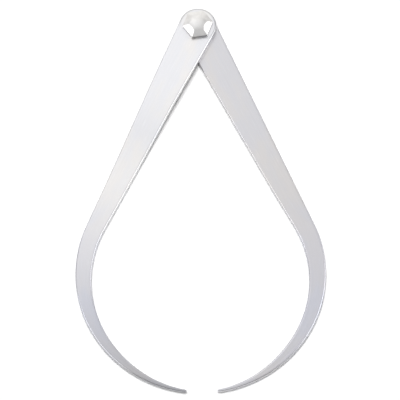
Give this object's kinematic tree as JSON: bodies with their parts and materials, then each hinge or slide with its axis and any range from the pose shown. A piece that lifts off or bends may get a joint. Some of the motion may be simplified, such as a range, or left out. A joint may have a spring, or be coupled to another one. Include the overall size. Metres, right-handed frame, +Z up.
{
  "type": "firm joint outside caliper",
  "caption": "Outside caliper with two bowed flat steel legs that turn stiffly on a friction joint, held by a tapered hexagon nut with a domed crown.",
  "frame": {"origin": "on the joint's axis, in the plane of the caliper's flat back", "axes": "+Z up out of the back through the nut, -Y from the joint towards the tips along the middle of the caliper, front leg on the -X side"},
  "size_m": [0.131, 0.2136, 0.0114],
  "materials": {
    "leg_steel": "satin ground lengthwise, edges broken",
    "nut_steel": "bright, turned crown and milled flats",
    "stud_steel": "turned, plain",
    "washer_bronze": "plain bronze sheet"
  },
  "bodies": {
    "rear": {"rear_leg": "leg_steel", "joint_stud": "stud_steel", "friction_washer": "washer_bronze", "thrust_washer": "stud_steel", "joint_nut": "nut_steel"},
    "front": {"front_leg": "leg_steel"}
  },
  "joints": [
    {"name": "firm_joint", "type": "hinge", "parent": "rear", "child": "front", "pos_m": [0, 0, 0], "axis": [0, 0, -1], "range_deg": [-4.4, 127.5]}
  ]
}
